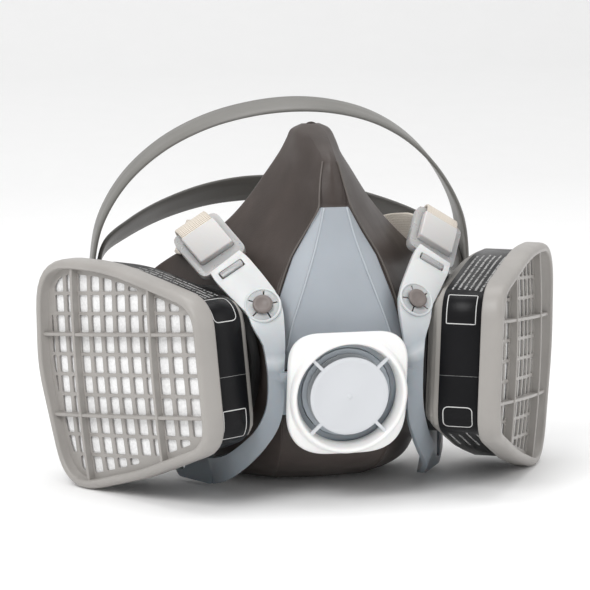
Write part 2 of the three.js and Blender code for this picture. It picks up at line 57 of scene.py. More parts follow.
# ---- driving dimensions, in mm, in the design frame that the part is drawn in ----
PIN_AT = Vector((76.2, 21.8, 68))
PIN_MIDDLE_X = 76.6  # middle of the pin's own length
CART_CENTRE = Vector((82, -53.8, 45.6))
CART_YAW, CART_ROLL = 60, 6.8
RIM_CORNERS = [(0, 43, 130), (43, 46.5, 22), (47, 3, 60), (36, -47.5, 20),
               (-10, -39.5, 150), (-51.5, -28, 14), (-50.5, 28, 15)]
FLOOR_FRONT, FLOOR_BACK = -3.9, -4.7
DOME = 2.7  # how far the middle of the grille stands forward of its edge
DOME_REACH = (50, 46)  # where the dome has fallen to nothing, across and up
SLOT_MARGIN = 6.0  # from the rim's outline to the nearest slot
SLOT_PITCH = (7.45, 7.85)
SLOT_SIZE = (5.4, 6.6)
SLOT_LEAST = 5  # smaller offcuts of a slot, in mm2, are left closed
RIB_AT = (22.35, 15.7)
RIB_TOP = (-1.0, -1.4)
RIB_HALF = 0.7
PAD_BACK = -9.0
BODY_INSET = 4.2
LABEL_FRONT, LABEL_BACK = -7.9, -23.6
LABEL_INSET = BODY_INSET - 0.95
PORT_AT = (-9, 0)
VALVE_AT = Vector((0, -86.6, 41.8))
VALVE_TILT = 7
COVER_SIZE = (46.4, 47.4)
COVER_ROUND = (17, 12)  # its lower and upper corners
VALVE_HOLE_R, VALVE_HOLE_REACH = 14.9, 14
SLOT_AT = Vector((39.0, -65.6, 86.3))
BUTTON_AT = Vector((29.8, -76.9, 74))
STRAP_W, STRAP_T = 14, 1.2
BAND_W, BAND_T = 11.4, 1.6
WALL = 2.4  # facepiece
PANEL_TOP, PANEL_LIP = 109.4, 110.1  # heights between which the recess for the panel ends
BORDER_TOP, BORDER_FADE = 118, 8
BORDER_RAISED = 0.9
SLEEVE_LOW, SLEEVE_HIGH = (-7.45, 10.6, -3.4), (7.45, 24.8, 1.1)

# Facepiece sections: height, front centre y, panel edge x y, side x y, rim x y
SECTIONS = [
    (-1.0, -37, 14, -34.5, 24, -27, 29.5, -17), (0.4, -45, 17, -42, 28, -32, 33, -19),
    (3, -52, 19, -49, 33, -35, 40, -15), (9, -65, 21, -61, 37, -41, 47, -9),
    (20, -75, 22, -71, 40, -45, 53, -2), (32, -80, 23, -77, 43, -46, 58, 4),
    (44, -82.5, 24, -79, 45, -45, 60, 7), (56, -81, 25, -77, 46, -43, 60.5, 8),
    (66, -77, 25.5, -73, 45, -42, 60, 7), (76, -74, 24, -70, 41, -42, 57.5, 2),
    (83, -72.5, 21.5, -68.5, 37, -42, 51.5, -6), (90, -71.5, 18.5, -68, 31.5, -43, 42.5, -15),
    (99, -70, 13, -67, 24, -45, 32.5, -24), (108.8, -68.6, 6.9, -66.8, 17.6, -46, 24.2, -27),
    (119.2, -66.4, 4.4, -64.2, 12.2, -46, 17.2, -29), (126.4, -63.6, 2.8, -61.4, 8.8, -46, 12.4, -30),
    (132.4, -52, 3.2, -49.6, 7.8, -40, 9.4, -31), (136, -41, 3.5, -39, 6.4, -35.5, 7.5, -31),
    (137.9, -35.5, 2, -34.6, 3.2, -33, 3.5, -31.5),
]
# Front panel: height, crease x y, edge x y
BIB = [(50, 21.8, -80.8, 25.6, -78.4), (56, 21.4, -79.6, 25.4, -77.4), (66, 18.6, -77.4, 24.4, -73.6),
       (74, 15.7, -76.4, 22.7, -71.8), (91, 9.6, -73.6, 16.3, -69.6), (100, 6.8, -71.8, 10.8, -69.0),
       (109.7, 4.4, -70.4, 5.4, -69.6)]
NOSE_EDGE = [(5.6, -68.0, 113.5), (4.5, -65.0, 119.2), (2.9, -62.3, 126.4)]  # the panel's border, carried up
# Face seal: how far it has turned inwards and backwards at each step of its roll
SEAL_ROLL = ((0.15, 0.9), (0.9, 1.8), (2.2, 2.4), (4.0, 2.4), (6.4, 1.7), (8.4, 0.5))
UPPER = [(77.4, 22, 62), (77.4, 19.5, 79), (74.4, 17.5, 95.5), (65.4, 14.5, 112),
         (51.6, 8.5, 126), (35, 1.5, 135.8), (17.4, -4, 141.2), (0, -6.5, 143)]
LOWER = [(75.2, 24, 64), (75.0, 22, 75), (71.5, 25.5, 83.5), (60, 34, 90),
         (42, 46.5, 96), (21, 54, 100.6), (0, 56, 102.2)]
# Elastic strap behind the facepiece: centre and width direction
STRAP_REAR = [
    ((47.8, -26, 93.5), (0.5, 0.1, -0.86)), ((46.6, -9, 92), (0.35, 0.1, -0.93)),
    ((41, 5, 89), (0.6, 0, -0.8)), ((37.5, 12, 80), (0.95, 0, -0.3)), ((39.5, 14.5, 69), (0.9, 0, 0.3)),
    ((50, 17, 59.5), (0.5, 0, 0.8)), ((64, 20, 57), (0.1, 0, 1)), ((72.6, 22.6, 58), (0, 0, 1)),
]

# ---- turned and swept profiles, in mm ----
# Port boss behind the cartridge: radius, level
PORT_BOSS = [(13.5, -46.5), (17.3, -46.5), (17.6, -45), (17.6, -35.6), (17.1, -34.6), (13.5, -34.6)]
# Cartridge cover's rim: inset, level
COVER_RIM = [(0.15, -7.4), (0, -6.9), (0, -2.2), (0.15, -1.0), (0.6, 0.05), (1.2, 0.65), (1.9, 0.95),
             (2.9, 0.95), (3.35, 0.7), (3.6, 0.1), (3.8, FLOOR_FRONT + 0.3), (4.6, FLOOR_FRONT - 0.05),
             (4.6, FLOOR_BACK + 0.1), (3.9, FLOOR_BACK - 0.1), (3.9, -7.4)]
# Filter pad: share of its outline, how far behind PAD_BACK, how far in front of the grille's back
PAD_RINGS = [(0.9, 0.3, 0), (1, 0.7, 0), (1, 0, -0.9), (0.985, 0, -0.45), (0.95, 0, -0.35), (0.85, 0, -0.35),
             (0.7, 0, -0.35), (0.5, 0, -0.35), (0.3, 0, -0.35), (0.1, 0, -0.35)]
# Valve cover: share of roundness, inset of the square or radius of the circle, level
COVER_STEPS = [(0, 0.15, 0.3), (0, 0, 0.7), (0, 0, 2.3), (0, 0.3, 3.2), (0, 0.8, 3.8), (0.5, 22.7, 4.1),
               (1, 22.9, 4.4), (1, 22.8, 5.3), (1, 22.5, 6.2), (1, 22.0, 6.9), (1, 21.4, 7.2), (1, 20.8, 7.0),
               (1, 20.4, 6.4), (1, 20.0, 5.0), (1, 19.6, 3.4), (1, 19.2, 1.6), (1, 19.2, 0.5),
               (0.3, 20.8, 0.3)]
# Disc in the valve cover: radius, level
DISC = [(0, 4.9), (14.6, 4.9), (15.1, 5.1), (15.2, 5.6), (15.1, 6.0), (14.7, 6.2), (13.6, 6.22), (13.2, 6.1),
        (8, 6.05), (1.3, 6.02), (1.0, 6.1), (0.7, 6.35), (0, 6.4)]
SPOKE_LOW, SPOKE_HIGH = (14.7, -0.62, 5.0), (20.5, 0.62, 6.1)
# Snap button's knob and the lip round it: radius, level
KNOB = [(0, -3.0), (2.8, -3.0), (2.8, 1.5), (3.5, 1.55), (3.8, 1.85), (3.75, 2.4), (3.4, 2.75), (2.4, 2.85),
        (2.1, 2.6), (0, 2.55)]
LIP = [(6.1, 0.7), (6.1, 1.2), (6.35, 1.45), (6.7, 1.5), (7.0, 1.3), (7.15, 0.7)]

# ---- places ----
low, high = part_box("cradle_pin_left")
ORIGIN = (low + high) / 2 / MM - Vector((PIN_MIDDLE_X, PIN_AT.y, PIN_AT.z))
ORIGIN.x = 0


def place(p):
    """A point in mm in the design frame, as metres in the row frame."""
    return (Vector(p) + ORIGIN) * MM


def axes(x, y, z, at):
    m = Matrix.Identity(4)
    for i, a in enumerate((x, y, z)):
        for j in range(3):
            m[j][i] = a[j]
    for j in range(3):
        m[j][3] = at[j]
    return m


yaw, roll, tilt = (math.radians(d) for d in (CART_YAW, CART_ROLL, VALVE_TILT))
OUTWARD = Vector((math.sin(yaw), -math.cos(yaw), 0))
level = Vector((math.cos(yaw), math.sin(yaw), 0))
up = Vector((0, 0, 1))
CART = axes(level * math.cos(roll) - up * math.sin(roll), up * math.cos(roll) + level * math.sin(roll),
            OUTWARD, CART_CENTRE)
VALVE = axes((1, 0, 0), (0, -math.sin(tilt), math.cos(tilt)), (0, -math.cos(tilt), -math.sin(tilt)), VALVE_AT)
buckle_a = Vector((0.384, 0.74, 0.55)).normalized()
buckle_b = Vector((0.84, -0.07, -0.54))
buckle_b = (buckle_b - buckle_a * buckle_b.dot(buckle_a)).normalized()
buckle_c = -buckle_a.cross(buckle_b).normalized()
BUCKLE = axes(buckle_b, buckle_a, buckle_c, SLOT_AT)
button_x = Vector((0.86, -0.05, -0.44)).normalized()
button_y = Vector((0.3, -0.81, 0.5)).normalized().cross(button_x).normalized()
BUTTON = axes(button_x, button_y, button_x.cross(button_y).normalized(), BUTTON_AT)


def mirrored(p, side):
    return Vector((p[0] * side, p[1], p[2]))


# ---- materials ----
class Nodes:
    """A material being wired: the shader, and short calls for the nodes that feed it."""

    def __init__(self, name, color, roughness, **fixed):
        self.mat = bpy.data.materials.new(name)
        self.mat.use_nodes = True
        self.tree = self.mat.node_tree
        self.shader = self.tree.nodes["Principled BSDF"]
        self.shader.inputs["Base Color"].default_value = (*color, 1)
        self.shader.inputs["Roughness"].default_value = roughness
        for key, value in fixed.items():
            self.shader.inputs[key.replace("_", " ")].default_value = value
        self.coords = self.tree.nodes.new("ShaderNodeTexCoord").outputs["Object"]

    def node(self, kind, inputs=(), **settings):
        made = self.tree.nodes.new("ShaderNode" + kind)
        for key, value in settings.items():
            setattr(made, key, value)
        for key, value in dict(inputs).items():
            if isinstance(value, bpy.types.NodeSocket):
                self.tree.links.new(value, made.inputs[key])
            else:
                made.inputs[key].default_value = value
        return made

    def noise(self, scale, detail=3.0, coords=None):
        inputs = {"Vector": coords or self.coords, "Scale": scale, "Detail": detail}
        return self.node("TexNoise", inputs).outputs["Fac"]

    def ramp(self, fac, stops):
        made = self.node("ValToRGB", {"Fac": fac})
        ramp = made.color_ramp
        while len(ramp.elements) < len(stops):
            ramp.elements.new(0.5)
        for element, (at, color) in zip(ramp.elements, stops):
            element.position = at
            element.color = (*color, 1)
        return made.outputs["Color"]

    def mix(self, fac, a, b):
        made = self.node("Mix", data_type="RGBA", blend_type="MIX")
        for socket, value in ((made.inputs[0], fac), (made.inputs[6], a), (made.inputs[7], b)):
            if isinstance(value, bpy.types.NodeSocket):
                self.tree.links.new(value, socket)
            elif isinstance(value, (int, float)):
                socket.default_value = value
            else:
                socket.default_value = (*value, 1)
        return made.outputs[2]

    def math(self, operation, a, b=0.0):
        made = self.node("Math", operation=operation)
        for socket, value in zip(made.inputs, (a, b)):
            if isinstance(value, bpy.types.NodeSocket):
                self.tree.links.new(value, socket)
            else:
                socket.default_value = value
        return made.outputs[0]

    def color(self, value):
        self.tree.links.new(value, self.shader.inputs["Base Color"])

    def rough(self, fac, least, most):
        spread = self.node("MapRange", {"Value": fac, "To Min": least, "To Max": most})
        self.tree.links.new(spread.outputs["Result"], self.shader.inputs["Roughness"])

    def bump(self, height, distance):
        made = self.node("Bump", {"Height": height, "Distance": distance * MM, "Strength": 1.0})
        self.tree.links.new(made.outputs["Normal"], self.shader.inputs["Normal"])


def scaled(color, k):
    return tuple(min(1.0, c * k) for c in color)


def moulded(name, color, roughness, drift=0.06, grain=0.03, **fixed):
    """A moulded plastic: slow drift in tone, small scuffs in its gloss and a fine grain."""
    m = Nodes(name, color, roughness, **fixed)
    slow = m.noise(45, 4)
    m.color(m.ramp(slow, [(0.3, scaled(color, 1 - drift)), (0.7, scaled(color, 1 + drift))]))
    m.rough(m.noise(170, 5), roughness - 0.06, roughness + 0.08)
    m.bump(m.noise(2600, 2), grain)
    return m.mat


def elastomer():
    """The facepiece: dark, satin, with faint streaks of moulding flow and fine grain."""
    color = (0.056, 0.044, 0.039)
    m = Nodes("facepiece_elastomer", color, 0.4, Specular_IOR_Level=0.28)
    stretched = m.node("Mapping", {"Vector": m.coords, "Scale": (1.0, 1.0, 0.35)}).outputs["Vector"]
    flow = m.ramp(m.noise(60, 6, stretched),
                  [(0.25, scaled(color, 0.75)), (0.55, color), (0.8, scaled(color, 1.4))])
    smudge = m.ramp(m.noise(26, 5), [(0.5, (0, 0, 0)), (0.72, (1, 1, 1))])
    m.color(m.mix(m.math("MULTIPLY", smudge, 0.5), flow, (0.115, 0.1, 0.094)))
    m.rough(m.noise(120, 5), 0.34, 0.5)
    m.bump(m.noise(1500, 3), 0.05)
    return m.mat


def milky(name, stops, roughness=0.34, dish_shade=False, **fixed):
    """Translucent plastic toned by height: stops are (height in mm, colour), and the ramp paints shade and
    highlights onto it.
    """
    m = Nodes(name, stops[-1][1], roughness, Subsurface_Weight=0.15, Subsurface_Scale=0.003, **fixed)
    low_z, high_z = stops[0][0], stops[-1][0]
    axis = m.node("SeparateXYZ", {0: m.coords}).outputs
    share = m.node("MapRange", {"Value": axis["Z"], "From Min": (low_z + ORIGIN.z) * MM,
                                "From Max": (high_z + ORIGIN.z) * MM}).outputs["Result"]
    cloud = m.math("MULTIPLY", m.math("SUBTRACT", m.noise(55, 3), 0.5), 0.12)
    tone = m.ramp(m.math("ADD", share, cloud), [((z - low_z) / (high_z - low_z), c) for z, c in stops])
    if dish_shade:
        # Painted shade in the dish round each button, by distance from it with left and right folded together
        beside = m.math("ABSOLUTE", axis["X"])
        folded = m.node("CombineXYZ", {0: beside, 1: axis["Y"], 2: axis["Z"]}).outputs[0]
        apart = m.node("VectorMath", {0: folded, 1: tuple(place(BUTTON_AT))},
                       operation="DISTANCE").outputs["Value"]
        dish_shade_amount = m.node("MapRange", {"Value": apart, "From Min": 5.9 * MM, "From Max": 6.5 * MM, "To Min": 0.3,
                                   "To Max": 0.0}).outputs["Result"]
        tone = m.mix(dish_shade_amount, tone, (0.2, 0.2, 0.2))
    smudge = m.math("MULTIPLY", m.noise(240, 5), 0.12)
    m.color(m.mix(smudge, tone, (0.42, 0.44, 0.46)))
    m.rough(m.noise(140, 5), roughness - 0.06, roughness + 0.1)
    m.bump(m.noise(1800, 2), 0.03)
    return m.mat


def webbing(name, color, shade):
    """Woven elastic: fine ribs across the strap, longer yarns along it and a soft fuzz."""
    m = Nodes(name, color, 0.85, Sheen_Weight=0.25, Sheen_Roughness=0.5)
    uv = m.node("UVMap", uv_map="weave").outputs["UV"]
    ribs = m.node("TexWave", {"Vector": uv, "Scale": 0.42, "Distortion": 0.4, "Detail": 1.5},
                  wave_type="BANDS", bands_direction="Y").outputs["Fac"]
    yarns = m.node("TexWave", {"Vector": uv, "Scale": 0.3, "Distortion": 0.2},
                   wave_type="BANDS", bands_direction="X").outputs["Fac"]
    weave = m.math("ADD", m.math("MULTIPLY", ribs, 0.75), m.math("MULTIPLY", yarns, 0.25))
    cloth = m.ramp(weave, [(0.1, shade), (0.7, color)])
    m.color(m.mix(m.math("MULTIPLY", m.noise(90, 4), 0.3), cloth, scaled(shade, 0.9)))
    m.bump(m.math("ADD", weave, m.math("MULTIPLY", m.noise(4000, 2), 0.3)), 0.22)
    return m.mat


def fibre(name, color):
    """Melt-blown filter fibre: matted, with soft hollows painted a little darker as shade."""
    m = Nodes(name, color, 0.95, Sheen_Weight=0.2)
    mat_noise = m.noise(900, 6)
    m.color(m.ramp(mat_noise, [(0.3, scaled(color, 0.86)), (0.65, color)]))
    m.bump(m.math("ADD", mat_noise, m.noise(160, 3)), 0.4)
    return m.mat


def granules(name):
    """Carbon granules in the cartridge, with painted shade darkening the gaps between them."""
    m = Nodes(name, (0.02, 0.02, 0.021), 0.7)
    cells = m.node("TexVoronoi", {"Vector": m.coords, "Scale": 900})
    m.color(m.ramp(cells.outputs["Distance"], [(0.0, (0.06, 0.06, 0.062)), (0.8, (0.006, 0.006, 0.006))]))
    m.bump(m.math("SUBTRACT", 1.0, cells.outputs["Distance"]), 0.6)
    return m.mat


def screen(name, color):
    """Fine scrim: crossed threads, with the holes between them painted dark as shade."""
    m = Nodes(name, color, 0.8)
    threads = m.node("TexVoronoi", {"Vector": m.coords, "Scale": 1400}, distance="CHEBYCHEV")
    m.color(m.ramp(threads.outputs["Distance"], [(0.2, scaled(color, 0.5)), (0.6, color)]))
    m.bump(threads.outputs["Distance"], 0.2)
    return m.mat


ELASTOMER = elastomer()
# Lighter brown for the border bead: a painted highlight along the panel's raised border.
ELASTOMER_EDGE_HIGHLIGHT = moulded("facepiece_edge_highlight", (0.1, 0.085, 0.076), 0.4, 0.1)
BIB_GREY = moulded("front_panel_grey", (0.345, 0.375, 0.41), 0.4, 0.05, 0.03, Subsurface_Weight=0.05,
                   Subsurface_Scale=0.002)
# Lighter grey for the crease beads: a painted highlight along the panel's creases.
BIB_CREASE_HIGHLIGHT = moulded("front_panel_crease_highlight", (0.44, 0.475, 0.51), 0.35, 0.03)
# Yoke: painted shade, darker towards the bottom of the arms, and a painted glint at 56 mm where the arms
# bend.
YOKE_MILKY = milky("yoke_milky", [(0, (0.21, 0.24, 0.27)), (52, (0.26, 0.29, 0.32)), (56, (0.5, 0.53, 0.55)),
                                  (59, (0.38, 0.41, 0.44)), (72, (0.6, 0.615, 0.62)),
                                  (92, (0.64, 0.645, 0.64))], dish_shade=True)
# Buckle: tone ramped darker towards the bottom, as painted shade.
BUCKLE_MILKY = milky("buckle_milky", [(85, (0.46, 0.46, 0.46)), (108, (0.56, 0.56, 0.55))], 0.26,
                     Transmission_Weight=0.25)
# Sleeve: painted shade, darker towards the bottom where the strap dives under the lower bar.
SLEEVE_MILKY = milky("sleeve_milky", [(88, (0.4, 0.39, 0.385)), (103, (0.62, 0.605, 0.59))], 0.3)
VALVE_WHITE = moulded("valve_cover_white", (0.84, 0.84, 0.83), 0.3, 0.02, 0.02, Coat_Weight=0.2,
                      Subsurface_Weight=0.1, Subsurface_Scale=0.002)
DISC_WHITE = moulded("valve_disc_white", (0.6, 0.615, 0.64), 0.38, 0.02, 0.02)
SEAT_BLUE = moulded("valve_seat_blue", (0.42, 0.46, 0.5), 0.45)
FLAP_GREY = moulded("valve_flap_grey", (0.38, 0.4, 0.42), 0.55)
CARTRIDGE_GREY = moulded("cartridge_grey", (0.335, 0.318, 0.3), 0.38, 0.05, 0.04)
BODY_GREY = moulded("cartridge_body_grey", (0.31, 0.295, 0.275), 0.45, 0.05, 0.04)
LABEL_BLACK = moulded("label_black", (0.006, 0.006, 0.007), 0.3, 0.2, 0.04, Specular_IOR_Level=0.15)
MARK_GREY = moulded("label_marks_grey", (0.62, 0.62, 0.61), 0.4, 0.1, 0.01)
PAD_WHITE = fibre("filter_pad_white", (0.9, 0.9, 0.9))
CARBON = granules("carbon_granules")
SCRIM = screen("port_scrim", (0.62, 0.62, 0.6))
# Near-black for the port adapter: its own dark rubber, and also painted shade behind the cartridge.
GASKET_BLACK_AND_SHADE = moulded("gasket_black", (0.012, 0.012, 0.012), 0.5, 0.2, 0.05)
AMBER = moulded("inhalation_amber", (0.72, 0.56, 0.28), 0.4, 0.05, 0.02, Subsurface_Weight=0.2,
                Subsurface_Scale=0.002)
BUTTON_BROWN = moulded("button_brown", (0.17, 0.145, 0.135), 0.4, 0.08, 0.04)
ELASTIC_CREAM = webbing("elastic_cream", (0.8, 0.74, 0.66), (0.45, 0.38, 0.3))
# The upper band has the lit grey; the lower band's darker copy of it is painted shade.
CRADLE_GREY = moulded("cradle_grey", (0.185, 0.18, 0.168), 0.4, 0.05, 0.05)
CRADLE_SHADED = moulded("cradle_dark", (0.08, 0.076, 0.07), 0.42, 0.06, 0.05)
PIN_GREY = moulded("cradle_pin_grey", (0.3, 0.3, 0.29), 0.4)
FLOOR_WHITE = moulded("studio_floor", (0.97, 0.97, 0.97), 0.8, 0.005, 0.0)


# ---- mesh helpers ----
def piece(name, verts, faces, material, body, replaces=(), slot=None, uvs=None):
    """A smooth mesh piece in metres, riding on a CAD body, with its faces pointing out."""
    mesh = bpy.data.meshes.new(name)
    mesh.from_pydata([tuple(v) for v in verts], [], faces)
    if uvs is not None:
        layer = mesh.uv_layers.new(name="weave")
        for loop in mesh.loops:
            layer.data[loop.index].uv = uvs[loop.vertex_index]
    obj = bpy.data.objects.new(name, mesh)
    bpy.context.scene.collection.objects.link(obj)
    obj.data.materials.append(material)
    work = bmesh.new()
    work.from_mesh(mesh)
    bmesh.ops.remove_doubles(work, verts=work.verts, dist=1e-6)
    bmesh.ops.recalc_face_normals(work, faces=work.faces)
    work.to_mesh(mesh)
    work.free()
    mesh.polygons.foreach_set("use_smooth", [True] * len(mesh.polygons))
    if body:
        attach(obj, body)
    if replaces:
        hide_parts(*replaces)
    return obj


def modifier(obj, kind, **settings):
    made = obj.modifiers.new(kind.lower(), kind)
    for key, value in settings.items():
        setattr(made, key, value)
    return made


def soften(obj, width, angle=28, segments=2):
    """Rounds the hard edges of a solid."""
    modifier(obj, "BEVEL", width=width * MM, segments=segments, limit_method="ANGLE",
             angle_limit=math.radians(angle), harden_normals=True)


def rings_mesh(rings, closed=False):
    """Faces that join rings of equal length: capped at both ends, or joined end to start."""
    n, count = len(rings[0]), len(rings)
    verts = [p for ring in rings for p in ring]
    faces = []
    for i in range(count if closed else count - 1):
        a, b = i * n, ((i + 1) % count) * n
        faces += [(a + j, a + (j + 1) % n, b + (j + 1) % n, b + j) for j in range(n)]
    if not closed:
        faces += [tuple(reversed(range(n))), tuple((count - 1) * n + j for j in range(n))]
    return verts, faces


def around(count):
    """Evenly spaced angles round a full turn."""
    return np.linspace(0, 2 * math.pi, count, endpoint=False)


def through(matrix, points, side=1):
    """Points in a local frame in mm, taken to the row frame on one side of the mask."""
    return [place(mirrored(matrix @ Vector(p), side)) for p in points]


def spline(points, per_span):
    """Centripetal curve through the rows of an array."""
    p = np.array(points, float)
    n = len(p)
    out = []
    for i in range(n - 1):
        b, c = p[i], p[i + 1]
        a = p[i - 1] if i else 2 * b - c
        d = p[i + 2] if i + 2 < n else 2 * c - b
        step = [max(np.linalg.norm(v - u) ** 0.5, 1e-6) for u, v in ((a, b), (b, c), (c, d))]
        left = (b - a) / step[0] - (c - a) / (step[0] + step[1]) + (c - b) / step[1]
        right = (c - b) / step[1] - (d - b) / (step[1] + step[2]) + (d - c) / step[2]
        left, right = left * step[1], right * step[1]
        for k in range(per_span):
            t = k / per_span
            out.append((2 * t**3 - 3 * t**2 + 1) * b + (t**3 - 2 * t**2 + t) * left
                       + (3 * t**2 - 2 * t**3) * c + (t**3 - t**2) * right)
    out.append(p[-1])
    return np.array(out)


def outline(corners, steps=8):
    """Closed outline with each corner rounded to its own radius."""
    points = []
    for i, (x, y, r) in enumerate(corners):
        p = np.array((x, y), float)
        u = np.array(corners[i - 1][:2]) - p
        v = np.array(corners[(i + 1) % len(corners)][:2]) - p
        lu, lv = np.linalg.norm(u), np.linalg.norm(v)
        angle = math.acos(max(-1, min(1, np.dot(u, v) / (lu * lv))))
        reach = min(r / math.tan(angle / 2), 0.48 * lu, 0.48 * lv)
        a, b = p + u / lu * reach, p + v / lv * reach
        for s in range(steps + 1):
            t = s / steps
            points.append((1 - t) ** 2 * a + 2 * t * (1 - t) * p + t * t * b)
    return np.array(points)


def resampled(points, count):
    """The same closed outline with evenly spaced points."""
    loop = np.vstack([points, points[:1]])
    run = np.concatenate([[0], np.cumsum(np.linalg.norm(np.diff(loop, axis=0), axis=1))])
    at = np.linspace(0, run[-1], count, endpoint=False)
    return np.stack([np.interp(at, run, loop[:, k]) for k in range(2)], axis=1)


def signed_area(points):
    """Area of a closed outline, above zero when it runs anticlockwise."""
    x, y = np.array(points).T
    return 0.5 * np.sum(x * np.roll(y, -1) - np.roll(x, -1) * y)


def inset(points, distance):
    """A closed outline moved inwards by a distance."""
    t = np.roll(points, -1, axis=0) - np.roll(points, 1, axis=0)
    t /= np.linalg.norm(t, axis=1)[:, None]
    n = np.stack([-t[:, 1], t[:, 0]], axis=1) * (1 if signed_area(points) > 0 else -1)
    return points + n * distance


def inside(p, line):
    """Whether a point is inside a closed outline."""
    a, b = line, np.roll(line, -1, axis=0)
    crosses = (a[:, 1] > p[1]) != (b[:, 1] > p[1])
    at = a[:, 0] + (p[1] - a[:, 1]) / np.where(crosses, b[:, 1] - a[:, 1], 1) * (b[:, 0] - a[:, 0])
    return np.count_nonzero(crosses & (p[0] < at)) % 2 == 1


def ribbon(stations, width, thickness, per_span, edge=0.45):
    """A strip with rounded edges swept along (centre, width direction). Gives rings and uvs in mm."""
    centres = spline([s[0] for s in stations], per_span)
    directions = spline([s[1] for s in stations], per_span)
    run = np.concatenate([[0], np.cumsum(np.linalg.norm(np.diff(centres, axis=0), axis=1))])
    w, t = width / 2, thickness / 2
    profile = [(-w + edge, -t), (-w / 3, -t), (w / 3, -t), (w - edge, -t), (w - 0.1, -t * 0.55), (w, 0),
               (w - 0.1, t * 0.55), (w - edge, t), (w / 3, t), (-w / 3, t), (-w + edge, t),
               (-w + 0.1, t * 0.55), (-w, 0), (-w + 0.1, -t * 0.55)]
    rings, uvs = [], []
    for i, c in enumerate(centres):
        along = Vector(centres[min(i + 1, len(centres) - 1)] - centres[max(i - 1, 0)]).normalized()
        across = Vector(directions[i])
        across = (across - along * across.dot(along)).normalized()
        normal = along.cross(across)
        rings.append([Vector(c) + across * x + normal * y for x, y in profile])
        uvs += [(x, run[i]) for x, _ in profile]
    return rings, uvs


def dressed(name, material, bevel=0.25, angle=28):
    """A CAD node that keeps its shape: merged, edges rounded, smooth, with a better material."""
    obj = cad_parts[name]
    if not obj.material_slots:
        obj.data.materials.append(material)
    for s in obj.material_slots:
        s.material = material
    modifier(obj, "WELD", merge_threshold=0.01 * MM)
    if bevel:
        soften(obj, bevel, angle)
    obj.data.polygons.foreach_set("use_smooth", [True] * len(obj.data.polygons))
    return obj


